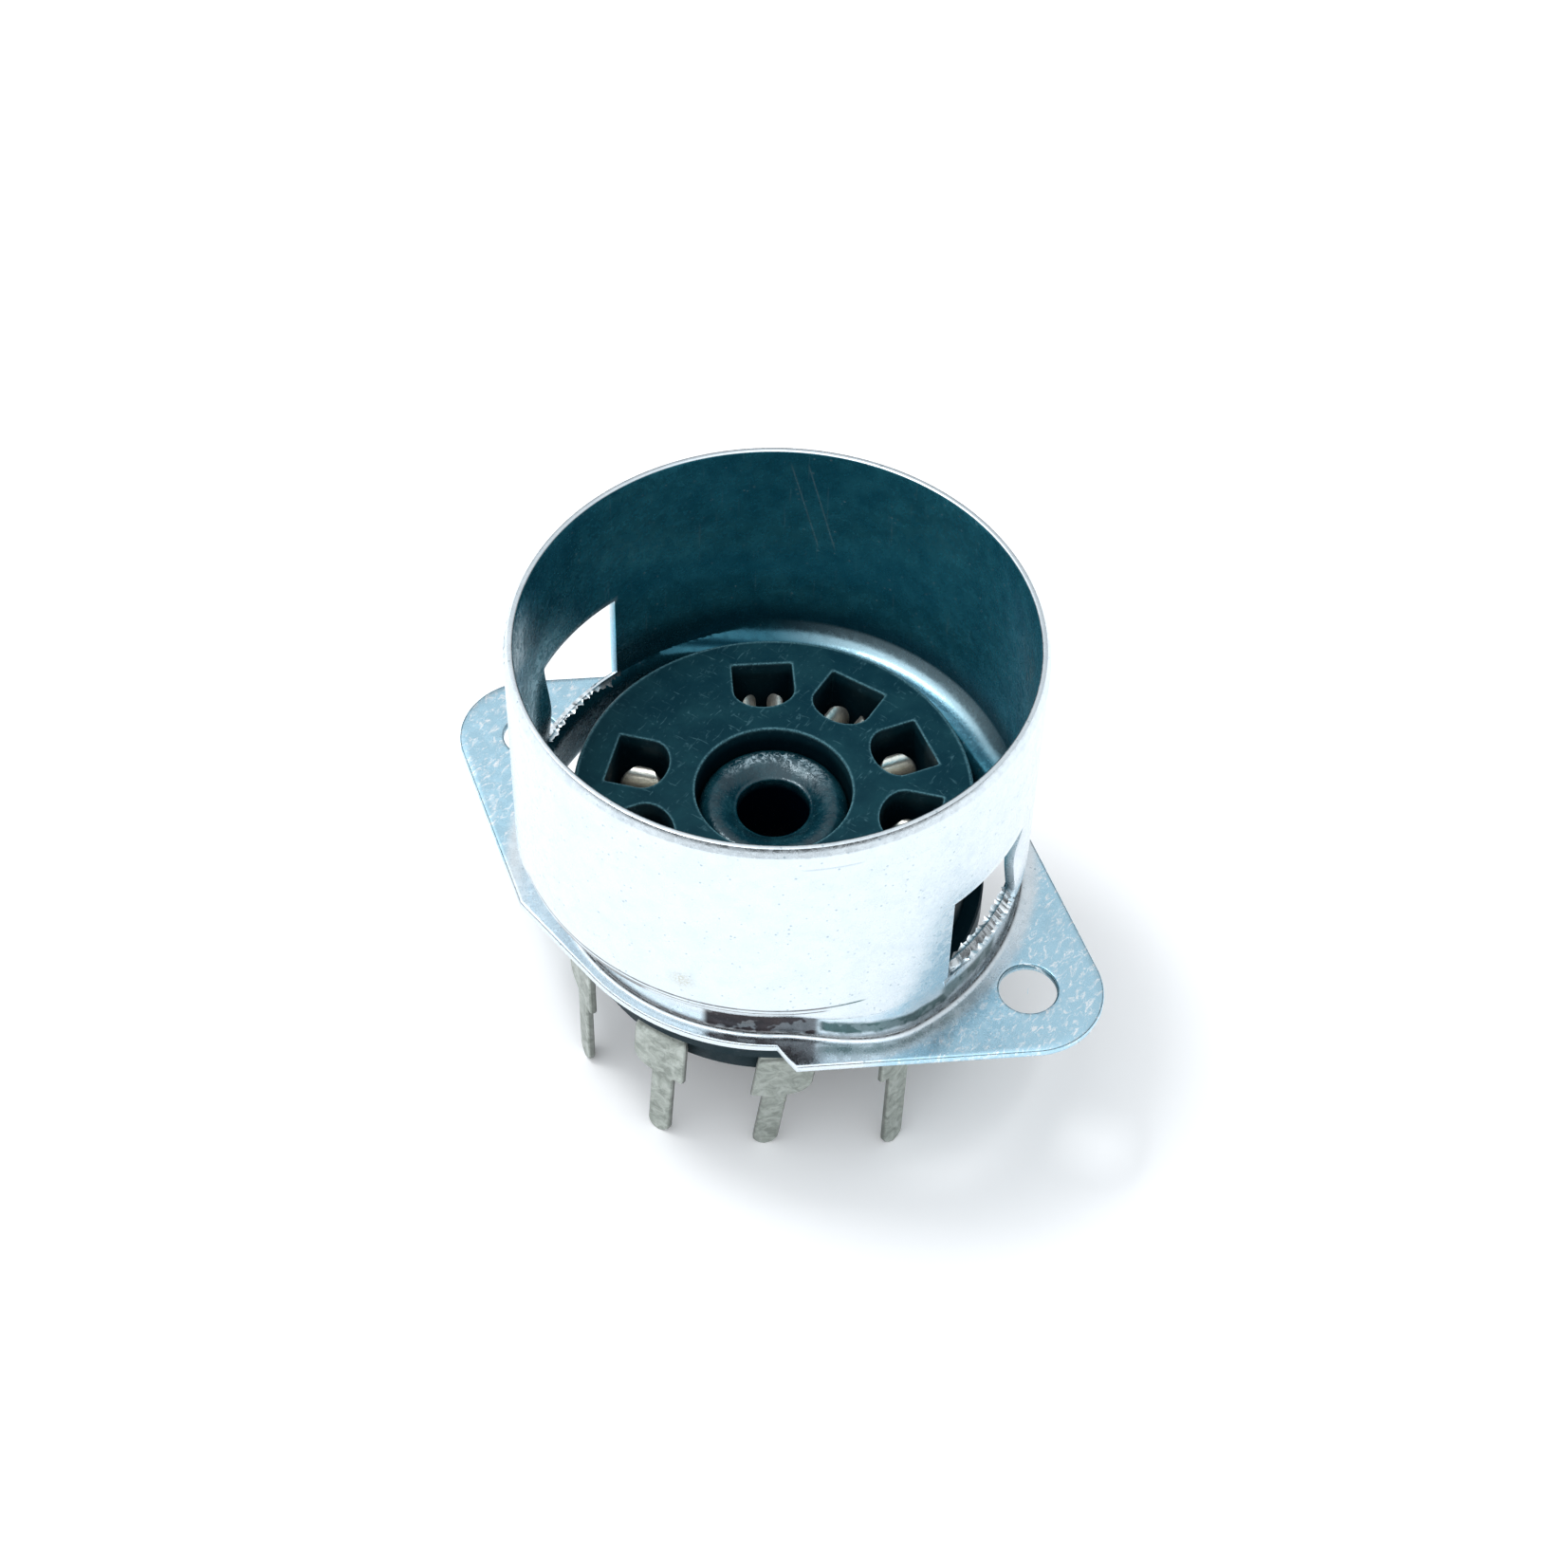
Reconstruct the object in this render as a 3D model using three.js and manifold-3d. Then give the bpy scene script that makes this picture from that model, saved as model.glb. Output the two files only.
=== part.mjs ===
// A nine-pin valve socket with a metal shield base and printed-board tails.
//
// Millimetres, +Z up. The origin is on the socket's axis, in the plane of the tail
// tips. +X points at one mounting ear, and the two ears lie on the X axis.

import * as THREE from 'three';
import { mergeVertices } from 'three/addons/utils/BufferGeometryUtils.js';
import Module from 'manifold-3d';

// ---- driving dimensions -------------------------------------------------------

const FLANGE_TOP = 10.8;          // top face of the flange above the tail tips
const CLEARANCE = 0.3;            // gap between pieces that touch on the real socket

// Shield base: one deep-drawn steel stamping.
const SHEET = 0.45;
const SKIRT_RADIUS = 12;
const SKIRT_HEIGHT = 15.5;        // rim above the flange
const LEDGE_HEIGHT = 3.25;        // step between the skirt and the neck, above the flange
const NECK_RADIUS = 10.25;        // at the front and the back
const NECK_BULGE = 1.45;          // how much wider the neck is at the ears
const BULGE_FULL = 24;            // degrees from the ear's direction, up to which it is full
const BULGE_END = 56;             // and from which there is none
const SKIRT_BEND = 1.5;
const NECK_BEND = 0.25;
const FLANGE_BEND = 0.35;
const FLANGE_OVERLAP = 0.2;       // flat part of the turned cup inside the flange plate
const EAR_EDGE_DISTANCE = 12.1;   // from the axis to the straight edges of the ears
const TRIM_RADIUS = 10.9;         // flange where its front and back are trimmed
const CORNER_BEFORE_TANGENT = 6;  // degrees from an ear edge's nearest point to its corner
const STEP_ANGLE = 4;             // degrees over which the trim steps out to the next ear
const EAR_SPACING = 28;
const EAR_RADIUS = 3.5;
const EAR_HOLE_RADIUS = 1.35;
const WINDOW_START = -16.5;       // degrees from the ear's direction
const WINDOW_END = 10.5;
const WINDOW_INNER_RADIUS = 11;
const WINDOW_TOP = 8.3;           // above the flange
const WINDOW_BOTTOM = 2.9;

// Nine contacts on ten places of a circle: one place is left out as the key.
const PLACES = 10;
const PITCH = 360 / PLACES;
const FIRST_CONTACT_ANGLE = 199;
const CONTACT_COUNT = 9;
const MIRRORED_CONTACTS = 3;      // the first ones have their square shoulder reversed

// Moulded body.
const FACE_HEIGHT = 5.1;          // its top face, above the flange
const BODY_RADIUS = 9.3;
const SHOULDER_RADIUS = 10.1;
const BODY_DROP = 2.2;            // its underside, below the flange's top face
const RECESS_RADIUS = 3.65;
const RECESS_DEPTH = 2.2;
const CHAMBER_WIDTH = 2.9;
const CHAMBER_INNER_RADIUS = 5.05;
const CHAMBER_OUTER_RADIUS = 7.75;
const CHAMBER_ROUNDING = 1.05;    // radial depth of its rounded inner end
const FACE_CHAMFER = 0.15;

// Base plate under the body, with a groove for each contact.
const PLATE_RADIUS = 9.15;
const PLATE_THICKNESS = 1.9;
const GROOVE_WIDTH = 3.2;

// Tubular rivet through the middle.
const RIVET_HEAD_RADIUS = 3.35;
const RIVET_HEAD_TOP = 4.15;      // above the flange
const RIVET_CROWN = 0.55;         // height of the head's domed part
const RIVET_TUBE_RADIUS = 2.1;
const RIVET_BORE_RADIUS = 1.7;
const RIVET_FLARE_RADIUS = 2.9;
const RIVET_FLARE = 0.4;

// Contacts: tinned strip with a foot, a tail for the board and two spring jaws.
const STRIP = 0.35;
const TAIL_CIRCLE_RADIUS = 9.7;
const BLADE_WIDTH = 2.8;
const SHOULDER_DROP = 5.9;        // square shoulder that rests on the board
const TAIL_WIDTH = 1.2;
const TAIL_OFFSET = 0.25;
const FOOT_WIDTH = 2.5;
const FOOT_INNER_RADIUS = 5.15;
const JAW_INNER_RADIUS = 5.65;     // the pins of the valve stand at a radius of 5.95
const JAW_OUTER_RADIUS = 7.25;
const JAW_STRIP = 0.3;
const JAW_ROOT_OFFSET = 0.85;     // tangential distance from the pin's axis
const JAW_PINCH_OFFSET = 0.42;
const JAW_LIP_OFFSET = 0.7;
const JAW_ROOT_HEIGHT = 0.55;     // top of the fixed root above the foot
const JAW_PINCH_HEIGHT = 2.6;     // above the flange
const JAW_LIP_HEIGHT = 3.7;

// Facets.
const TURN_SEGMENTS = 60;
const RIVET_SEGMENTS = 32;
const BEND_STEPS = 3;
const CROWN_STEPS = 6;
const HOLE_SEGMENTS = 24;
const ARC_SEGMENTS = 6;
const WELD = 1e-5;                // vertices closer than this are one
const OVERCUT = 1;                // how far a cutting tool runs past a face

// ---- worked-out heights (above the tail tips) ----------------------------------

const RIM_Z = FLANGE_TOP + SKIRT_HEIGHT;
const LEDGE_Z = FLANGE_TOP + LEDGE_HEIGHT;
const FLANGE_UNDERSIDE_Z = FLANGE_TOP - SHEET;
const FACE_Z = FLANGE_TOP + FACE_HEIGHT;
const BODY_UNDERSIDE_Z = FLANGE_TOP - BODY_DROP;
const FOOT_TOP_Z = BODY_UNDERSIDE_Z - CLEARANCE;
const FOOT_BOTTOM_Z = FOOT_TOP_Z - STRIP;
const PLATE_TOP_Z = BODY_UNDERSIDE_Z - CLEARANCE;
const PLATE_BOTTOM_Z = PLATE_TOP_Z - PLATE_THICKNESS;
const GROOVE_FLOOR_Z = FOOT_BOTTOM_Z - CLEARANCE;
const JAW_ROOT_Z = FOOT_TOP_Z + JAW_ROOT_HEIGHT;
const JAW_START_Z = JAW_ROOT_Z + CLEARANCE;

// ---- solids --------------------------------------------------------------------

const wasm = await Module();
wasm.setup();

const radians = THREE.MathUtils.degToRad;

// A closed three.js geometry as a solid that can be cut and joined.
function solid(geometry) {
  const bare = geometry.index ? geometry.toNonIndexed() : geometry.clone();
  bare.deleteAttribute('normal');
  bare.deleteAttribute('uv');
  const merged = mergeVertices(bare, WELD);
  return new wasm.Manifold(new wasm.Mesh({
    numProp: 3,
    vertProperties: new Float32Array(merged.attributes.position.array),
    triVerts: new Uint32Array(merged.index.array),
  }));
}

// The solid back as a three.js geometry.
function geometryOf(body) {
  const { vertProperties, triVerts } = body.getMesh();
  const geometry = new THREE.BufferGeometry();
  geometry.setAttribute('position', new THREE.BufferAttribute(new Float32Array(vertProperties), 3));
  geometry.setIndex(new THREE.BufferAttribute(new Uint32Array(triVerts), 1));
  geometry.computeVertexNormals();
  return geometry;
}

// A closed outline of [radius, z] points turned about Z, as a three.js geometry.
function latheOf(outline, segments = TURN_SEGMENTS) {
  const closed = [...outline, outline[0]];
  const points = closed.map(([radius, z]) => new THREE.Vector2(radius, z));
  return new THREE.LatheGeometry(points, segments).rotateX(Math.PI / 2);
}

function turned(outline, segments = TURN_SEGMENTS) {
  return solid(latheOf(outline, segments));
}

// A flat shape raised from one height to another.
function raised(shape, bottom, top, curveSegments = HOLE_SEGMENTS) {
  const geometry = new THREE.ExtrudeGeometry(shape, {
    depth: top - bottom, bevelEnabled: false, curveSegments,
  });
  geometry.translate(0, 0, bottom);
  return solid(geometry);
}

// A box between two corners.
function block([x0, y0, z0], [x1, y1, z1]) {
  const geometry = new THREE.BoxGeometry(x1 - x0, y1 - y0, z1 - z0);
  geometry.translate((x0 + x1) / 2, (y0 + y1) / 2, (z0 + z1) / 2);
  return solid(geometry);
}

// Points [radius, z] along a bend, from one angle to another in degrees.
function bend(centreRadius, centreZ, bendRadius, from, to) {
  return Array.from({ length: BEND_STEPS + 1 }, (_, step) => {
    const angle = radians(from + (to - from) * step / BEND_STEPS);
    return [
      centreRadius + bendRadius * Math.cos(angle),
      centreZ + bendRadius * Math.sin(angle),
    ];
  });
}

function circle(x, y, radius) {
  return new THREE.Path().absarc(x, y, radius, 0, 2 * Math.PI);
}

function material(color, roughness, metalness) {
  return new THREE.MeshStandardMaterial({ color, roughness, metalness });
}

function part(name, body, look) {
  const mesh = new THREE.Mesh(geometryOf(body), look);
  mesh.name = name;
  return mesh;
}

// ---- shield base ---------------------------------------------------------------

// How far the neck stands out in one direction, given in radians.
function neckBulge(angle) {
  const fromEar = Math.abs(THREE.MathUtils.radToDeg(Math.atan(Math.tan(angle))));
  return NECK_BULGE * (1 - THREE.MathUtils.smoothstep(fromEar, BULGE_FULL, BULGE_END));
}

// Section of the sheet in one direction: skirt, ledge, neck and the flange's inner rim.
// Where the neck bulges, the ledge is narrower, and the skirt runs further down.
function cupSection(bulge) {
  const ledgeRadius = SKIRT_RADIUS - SKIRT_BEND;
  const skirtBendZ = LEDGE_Z - SHEET + SKIRT_BEND;
  const neckBendZ = LEDGE_Z - SHEET - NECK_BEND;
  const flangeBendRadius = NECK_RADIUS + FLANGE_BEND;
  const flangeBendZ = FLANGE_TOP + FLANGE_BEND;
  const moved = ([radius, z]) => [radius + bulge, z];
  const ledge = (depth) => [
    ...bend(ledgeRadius, skirtBendZ, SKIRT_BEND - depth, 0, -90),
    ...bend(ledgeRadius, neckBendZ, NECK_BEND + depth, 90, 180).slice(1),
  ].map(([radius, z]) => [Math.min(radius + bulge, SKIRT_RADIUS - depth), z]);
  const foot = (depth) => (
    bend(flangeBendRadius, flangeBendZ, FLANGE_BEND + depth, 180, 270).map(moved)
  );
  const outside = [
    [SKIRT_RADIUS, RIM_Z],
    ...ledge(0),
    ...foot(0),
    moved([flangeBendRadius + FLANGE_OVERLAP, FLANGE_TOP]),
  ];
  const inside = [
    [SKIRT_RADIUS - SHEET, RIM_Z],
    ...ledge(SHEET),
    ...foot(SHEET),
    moved([flangeBendRadius + FLANGE_OVERLAP, FLANGE_UNDERSIDE_Z]),
  ];
  return [...outside, ...inside.reverse()].reverse();
}

// The drawn cup: turned, and then given its own section in every direction.
function drawnCup() {
  const corners = cupSection(0).length;
  const geometry = latheOf(cupSection(0));
  const position = geometry.attributes.position;
  for (let vertex = 0; vertex < position.count; vertex += 1) {
    const angle = Math.atan2(position.getY(vertex), position.getX(vertex));
    const corner = vertex % (corners + 1) % corners;
    const [radius, z] = cupSection(neckBulge(angle))[corner];
    position.setXYZ(vertex, radius * Math.cos(angle), radius * Math.sin(angle), z);
  }
  return solid(geometry);
}

// The flange's inner edge, which the cup's foot covers.
function footOutline() {
  const points = Array.from({ length: TURN_SEGMENTS }, (_, step) => {
    const angle = 2 * Math.PI * step / TURN_SEGMENTS;
    const radius = NECK_RADIUS + FLANGE_BEND + FLANGE_OVERLAP / 2 + neckBulge(angle);
    return new THREE.Vector2(radius * Math.cos(angle), radius * Math.sin(angle));
  });
  return new THREE.Path(points);
}

// Two ears with straight edges. Between them the front and the back are trimmed close to
// the neck: along a straight cut on one side, and with a short step at the next ear.
function flangeOutline() {
  const earX = EAR_SPACING / 2;
  const edge = Math.acos((EAR_EDGE_DISTANCE - EAR_RADIUS) / earX);
  const corner = edge - radians(CORNER_BEFORE_TANGENT);
  const cornerRadius = EAR_EDGE_DISTANCE / Math.cos(edge - corner);
  const trimStart = corner + Math.acos(TRIM_RADIUS / cornerRadius);
  const trimEnd = Math.PI - edge - radians(STEP_ANGLE);
  const outline = new THREE.Shape();
  for (const turn of [0, Math.PI]) {
    outline.absarc(earX * Math.cos(turn), 0, EAR_RADIUS, turn - edge, turn + edge);
    outline.lineTo(cornerRadius * Math.cos(turn + corner), cornerRadius * Math.sin(turn + corner));
    outline.absarc(0, 0, TRIM_RADIUS, turn + trimStart, turn + trimEnd);
    outline.lineTo(
      EAR_EDGE_DISTANCE * Math.cos(turn + Math.PI - edge),
      EAR_EDGE_DISTANCE * Math.sin(turn + Math.PI - edge),
    );
  }
  outline.closePath();
  return outline;
}

function flangePlate() {
  const outline = flangeOutline();
  outline.holes.push(
    footOutline(),
    circle(EAR_SPACING / 2, 0, EAR_HOLE_RADIUS),
    circle(-EAR_SPACING / 2, 0, EAR_HOLE_RADIUS),
  );
  return raised(outline, FLANGE_UNDERSIDE_Z, FLANGE_TOP);
}

// The punch that opens a window through the skirt and round its bottom bend.
function windowPunch() {
  const reach = SKIRT_RADIUS + OVERCUT;
  const from = radians(WINDOW_START);
  const to = radians(WINDOW_END);
  const sector = new THREE.Shape();
  sector.absarc(0, 0, reach, from, to);
  sector.absarc(0, 0, WINDOW_INNER_RADIUS, to, from, true);
  sector.closePath();
  return raised(sector, FLANGE_TOP + WINDOW_BOTTOM, FLANGE_TOP + WINDOW_TOP, ARC_SEGMENTS);
}

function shieldBase() {
  const punch = windowPunch();
  const body = drawnCup()
    .add(flangePlate())
    .subtract(punch)
    .subtract(punch.rotate([0, 0, 180]));
  return part('shield_base', body, material(0xcfd8dc, 0.3, 1));
}

// ---- moulded body --------------------------------------------------------------

function contactAngles() {
  const places = Array.from({ length: PLACES }, (_, place) => FIRST_CONTACT_ANGLE + place * PITCH);
  return places.slice(0, CONTACT_COUNT);
}

// D-shaped chamber: flat on the outside, round towards the axis.
function chamber() {
  const half = CHAMBER_WIDTH / 2;
  const outline = new THREE.Shape();
  outline.moveTo(CHAMBER_OUTER_RADIUS, -half);
  outline.lineTo(CHAMBER_OUTER_RADIUS, half);
  outline.absellipse(
    CHAMBER_INNER_RADIUS + CHAMBER_ROUNDING, 0, CHAMBER_ROUNDING, half,
    Math.PI / 2, 3 * Math.PI / 2,
  );
  outline.closePath();
  return raised(outline, BODY_UNDERSIDE_Z - OVERCUT, FACE_Z + OVERCUT, ARC_SEGMENTS);
}

function socketBody() {
  const shoulderTop = FLANGE_UNDERSIDE_Z - CLEARANCE;
  const boreRadius = RIVET_TUBE_RADIUS + CLEARANCE;
  const blank = turned([
    [boreRadius, BODY_UNDERSIDE_Z],
    [SHOULDER_RADIUS, BODY_UNDERSIDE_Z],
    [SHOULDER_RADIUS, shoulderTop],
    [BODY_RADIUS, shoulderTop],
    [BODY_RADIUS, FACE_Z - FACE_CHAMFER],
    [BODY_RADIUS - FACE_CHAMFER, FACE_Z],
    [RECESS_RADIUS, FACE_Z],
    [RECESS_RADIUS, FACE_Z - RECESS_DEPTH],
    [boreRadius, FACE_Z - RECESS_DEPTH],
  ]);
  const cut = contactAngles().reduce(
    (body, angle) => body.subtract(chamber().rotate([0, 0, angle])),
    blank,
  );
  return part('socket_body', cut, material(0x10262e, 0.55, 0));
}

function basePlate() {
  const boreRadius = RIVET_TUBE_RADIUS + CLEARANCE;
  const blank = turned([
    [boreRadius, PLATE_BOTTOM_Z],
    [PLATE_RADIUS, PLATE_BOTTOM_Z],
    [PLATE_RADIUS, PLATE_TOP_Z],
    [boreRadius, PLATE_TOP_Z],
  ]);
  const half = GROOVE_WIDTH / 2;
  const grooved = contactAngles().reduce((body, angle) => {
    const groove = block(
      [FOOT_INNER_RADIUS - CLEARANCE, -half, GROOVE_FLOOR_Z],
      [PLATE_RADIUS + OVERCUT, half, PLATE_TOP_Z + OVERCUT],
    );
    return body.subtract(groove.rotate([0, 0, angle]));
  }, blank);
  return part('base_plate', grooved, material(0x1b1512, 0.6, 0));
}

// Rivet: a domed head in the body's recess, a tube, and a flare under the plate.
function centreRivet() {
  const headUnderside = FACE_Z - RECESS_DEPTH + CLEARANCE;
  const headTop = FLANGE_TOP + RIVET_HEAD_TOP;
  const crownRadius = (RIVET_HEAD_RADIUS + RIVET_BORE_RADIUS) / 2;
  const crownHalf = (RIVET_HEAD_RADIUS - RIVET_BORE_RADIUS) / 2;
  const crown = Array.from({ length: CROWN_STEPS + 1 }, (_, step) => {
    const angle = Math.PI * step / CROWN_STEPS;
    return [
      crownRadius + crownHalf * Math.cos(angle),
      headTop - RIVET_CROWN + RIVET_CROWN * Math.sin(angle),
    ];
  });
  const flareTop = PLATE_BOTTOM_Z - CLEARANCE;
  const body = turned([
    [RIVET_BORE_RADIUS, flareTop - RIVET_FLARE],
    [RIVET_FLARE_RADIUS, flareTop - RIVET_FLARE],
    [RIVET_FLARE_RADIUS, flareTop],
    [RIVET_TUBE_RADIUS, flareTop],
    [RIVET_TUBE_RADIUS, headUnderside],
    [RIVET_HEAD_RADIUS, headUnderside],
    ...crown,
  ], RIVET_SEGMENTS);
  return part('centre_rivet', body, material(0x16323a, 0.2, 0.6));
}

// ---- contacts ------------------------------------------------------------------
// Each is drawn with the pin's axis on +X and then turned to its place.

// A flat outline, drawn across and up, stood up between two radii along X. side
// is +1 to keep it and -1 to mirror it.
function strip(outline, inner, outer, side) {
  const flat = new THREE.ExtrudeGeometry(outline, {
    depth: outer - inner, bevelEnabled: false, curveSegments: ARC_SEGMENTS,
  });
  flat.rotateX(Math.PI / 2);
  flat.rotateZ(Math.PI / 2);
  flat.translate(inner, 0, 0);
  return side > 0 ? solid(flat) : solid(flat).mirror([0, 1, 0]);
}

// The flat tail: a wide blade, a square shoulder on one side, a curved one on the
// other, and a narrow round-ended leg.
function tailOutline() {
  const half = BLADE_WIDTH / 2;
  const leg = TAIL_WIDTH / 2;
  const shoulderZ = FLANGE_TOP - SHOULDER_DROP;
  const curve = half + TAIL_OFFSET - leg;
  const outline = new THREE.Shape();
  outline.moveTo(-half, FOOT_BOTTOM_Z);
  outline.lineTo(-half, shoulderZ);
  outline.lineTo(-TAIL_OFFSET - leg, shoulderZ);
  outline.lineTo(-TAIL_OFFSET - leg, leg);
  outline.absarc(-TAIL_OFFSET, leg, leg, Math.PI, 2 * Math.PI);
  outline.lineTo(-TAIL_OFFSET + leg, shoulderZ);
  outline.absarc(half - curve, shoulderZ + curve, curve, -Math.PI / 2, 0);
  outline.lineTo(half, FOOT_BOTTOM_Z);
  outline.closePath();
  return outline;
}

// Foot, jaw roots and tail. hand is the side that the square shoulder is on.
function contactFixed(number, angle, hand, look) {
  const outer = TAIL_CIRCLE_RADIUS + STRIP / 2;
  const inner = outer - STRIP;
  const tail = strip(tailOutline(), inner, outer, hand);
  const half = FOOT_WIDTH / 2;
  const foot = block([FOOT_INNER_RADIUS, -half, FOOT_BOTTOM_Z], [outer, half, FOOT_TOP_Z]);
  const roots = [-1, 1].map((side) => {
    const centre = side * JAW_ROOT_OFFSET;
    return block(
      [JAW_INNER_RADIUS, centre - JAW_STRIP / 2, FOOT_TOP_Z - STRIP / 2],
      [JAW_OUTER_RADIUS, centre + JAW_STRIP / 2, JAW_ROOT_Z],
    );
  });
  const body = foot.add(tail).add(roots[0]).add(roots[1]).rotate([0, 0, angle]);
  return part(`contact_${number}`, body, look);
}

// One spring jaw: it leans in to the pinch point and flares out at the lip. It
// bends at the gap above its root.
function contactJaw(name, angle, side, look) {
  const half = JAW_STRIP / 2;
  const line = [
    [JAW_ROOT_OFFSET, JAW_START_Z],
    [JAW_PINCH_OFFSET, FLANGE_TOP + JAW_PINCH_HEIGHT],
    [JAW_LIP_OFFSET, FLANGE_TOP + JAW_LIP_HEIGHT],
  ];
  const inside = line.map(([across, z]) => new THREE.Vector2(across - half, z));
  const outside = line.map(([across, z]) => new THREE.Vector2(across + half, z));
  const outline = new THREE.Shape([...inside, ...outside.reverse()]);
  const jaw = strip(outline, JAW_INNER_RADIUS, JAW_OUTER_RADIUS, side);
  return part(name, jaw.rotate([0, 0, angle]), look);
}

function contacts() {
  return contactAngles().flatMap((angle, index) => {
    const number = index + 1;
    const hand = index < MIRRORED_CONTACTS ? -1 : 1;
    const look = () => material(0xb8b7a8, 0.35, 1);
    return [
      contactFixed(number, angle, hand, look()),
      contactJaw(`contact_${number}_left_jaw`, angle, -1, look()),
      contactJaw(`contact_${number}_right_jaw`, angle, 1, look()),
    ];
  });
}

// ---- assembly ------------------------------------------------------------------

const group = new THREE.Group();
group.add(shieldBase(), socketBody(), basePlate(), centreRivet(), ...contacts());

export default group;
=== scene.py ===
"""A nine-pin valve socket with a metal shield base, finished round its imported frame.

Lengths are written in millimetres and turned into metres by MM. Radii are measured
from the socket's axis, and heights from the plane of the tail tips.
"""

import math
import random

import bmesh
import bpy
from mathutils import Matrix, Vector
from mathutils.geometry import tessellate_polygon


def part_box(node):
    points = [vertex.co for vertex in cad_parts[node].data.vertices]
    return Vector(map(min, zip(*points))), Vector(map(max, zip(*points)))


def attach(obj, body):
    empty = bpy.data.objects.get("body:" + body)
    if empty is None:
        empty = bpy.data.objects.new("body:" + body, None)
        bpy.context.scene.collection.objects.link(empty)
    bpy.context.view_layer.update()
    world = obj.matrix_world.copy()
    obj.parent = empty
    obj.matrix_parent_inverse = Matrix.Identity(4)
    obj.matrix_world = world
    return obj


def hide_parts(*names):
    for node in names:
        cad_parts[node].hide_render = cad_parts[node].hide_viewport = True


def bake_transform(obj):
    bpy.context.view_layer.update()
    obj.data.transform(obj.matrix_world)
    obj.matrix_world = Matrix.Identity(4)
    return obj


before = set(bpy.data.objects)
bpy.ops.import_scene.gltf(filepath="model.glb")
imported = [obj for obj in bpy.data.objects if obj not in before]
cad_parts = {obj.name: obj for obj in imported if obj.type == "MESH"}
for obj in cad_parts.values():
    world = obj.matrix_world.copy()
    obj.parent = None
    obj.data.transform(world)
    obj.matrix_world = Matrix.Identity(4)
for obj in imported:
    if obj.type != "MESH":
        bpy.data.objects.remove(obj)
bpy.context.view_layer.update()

MM = 0.001
ROOT = "socket"

# ---- sizes, from the frame where it has them -------------------------------------

shield_low, shield_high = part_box("shield_base")
body_low, body_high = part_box("socket_body")
plate_low, plate_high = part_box("base_plate")
rivet_low, rivet_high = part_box("centre_rivet")

SHEET = 0.45 * MM
RIM_Z = shield_high.z
FLANGE_BOTTOM_Z = shield_low.z
FLANGE_TOP_Z = FLANGE_BOTTOM_Z + SHEET
SKIRT_RADIUS = shield_high.y
LEDGE_Z = FLANGE_TOP_Z + 3.25 * MM
NECK_RADIUS = 10.25 * MM
NECK_BULGE = 1.45 * MM
BULGE_FULL = 24
BULGE_END = 56
SKIRT_BEND = 1.5 * MM
NECK_BEND = 0.25 * MM
FLANGE_BEND = 0.35 * MM
EAR_RADIUS = 3.5 * MM
EAR_X = shield_high.x - EAR_RADIUS
EAR_EDGE_DISTANCE = 12.1 * MM
EAR_EDGE_ANGLE = math.degrees(math.acos((EAR_EDGE_DISTANCE - EAR_RADIUS) / EAR_X))
CORNER_BEFORE_TANGENT = 6
STEP_ANGLE = 4
EAR_CORNER = EAR_EDGE_ANGLE - CORNER_BEFORE_TANGENT
TRIM_RADIUS = 10.9 * MM
TRIM_START = EAR_CORNER + math.degrees(
    math.acos(TRIM_RADIUS * math.cos(math.radians(CORNER_BEFORE_TANGENT)) / EAR_EDGE_DISTANCE)
)
STEP_END = EAR_EDGE_ANGLE + STEP_ANGLE
EAR_HOLE_RADIUS = 1.35 * MM
WINDOW_START = -16.5
WINDOW_END = 10.5
WINDOW_TOP_Z = FLANGE_TOP_Z + 8.3 * MM
WINDOW_BOTTOM_Z = FLANGE_TOP_Z + 2.9 * MM
# The torn lower edge of a window hangs down from this direction to its front corner.
LIP_SAG = 0.75 * MM
LIP_SAG_START = -7
LIP_SAG_SPAN = 9.5

FACE_Z = body_high.z
BODY_BOTTOM_Z = body_low.z
BODY_RADIUS = 9.3 * MM
SHOULDER_RADIUS = body_high.y
SHOULDER_TOP_Z = FLANGE_BOTTOM_Z - 0.05 * MM
RECESS_RADIUS = 3.65 * MM
RECESS_FLOOR_Z = FACE_Z - 2.2 * MM
BORE_RADIUS = 2.15 * MM
CHAMBER_HALF = 1.45 * MM
CHAMBER_OUTER = 7.75 * MM
CHAMBER_INNER = 5.05 * MM
CHAMBER_ROUNDING = 1.05 * MM

PLATE_RADIUS = 9.15 * MM
GROOVE_HALF = 1.5 * MM

RIVET_HEAD_RADIUS = 3.52 * MM
RIVET_BORE = 1.7 * MM
RIVET_TUBE = 2.1 * MM
RIVET_FLARE_RADIUS = 2.9 * MM

STRIP = 0.35 * MM
JAW_STRIP = 0.3 * MM
TAIL_RADIUS = 9.7 * MM
FOOT_INNER_RADIUS = 5.2 * MM
JAW_MIDDLE_RADIUS = 6.45 * MM
CONTACT_ANGLES = [199 + 36 * place for place in range(9)]
MIRRORED_CONTACTS = 3
# Lean outwards and sideways of the tails that were knocked, per unit of drop.
BENT_TAILS = {2: (0, 0), 3: (0, -0.06), 4: (-0.11, -0.085), 5: (0.1, -0.12)}


def polar(radius, degrees, z):
    angle = math.radians(degrees)
    return Vector((radius * math.cos(angle), radius * math.sin(angle), z))


def arc(centre_r, centre_z, radius, start, end, steps):
    """Points (radius, z) along a bend, from one angle to another in degrees."""
    points = []
    for step in range(steps + 1):
        angle = math.radians(start + (end - start) * step / steps)
        points.append((centre_r + radius * math.cos(angle), centre_z + radius * math.sin(angle)))
    return points


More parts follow.
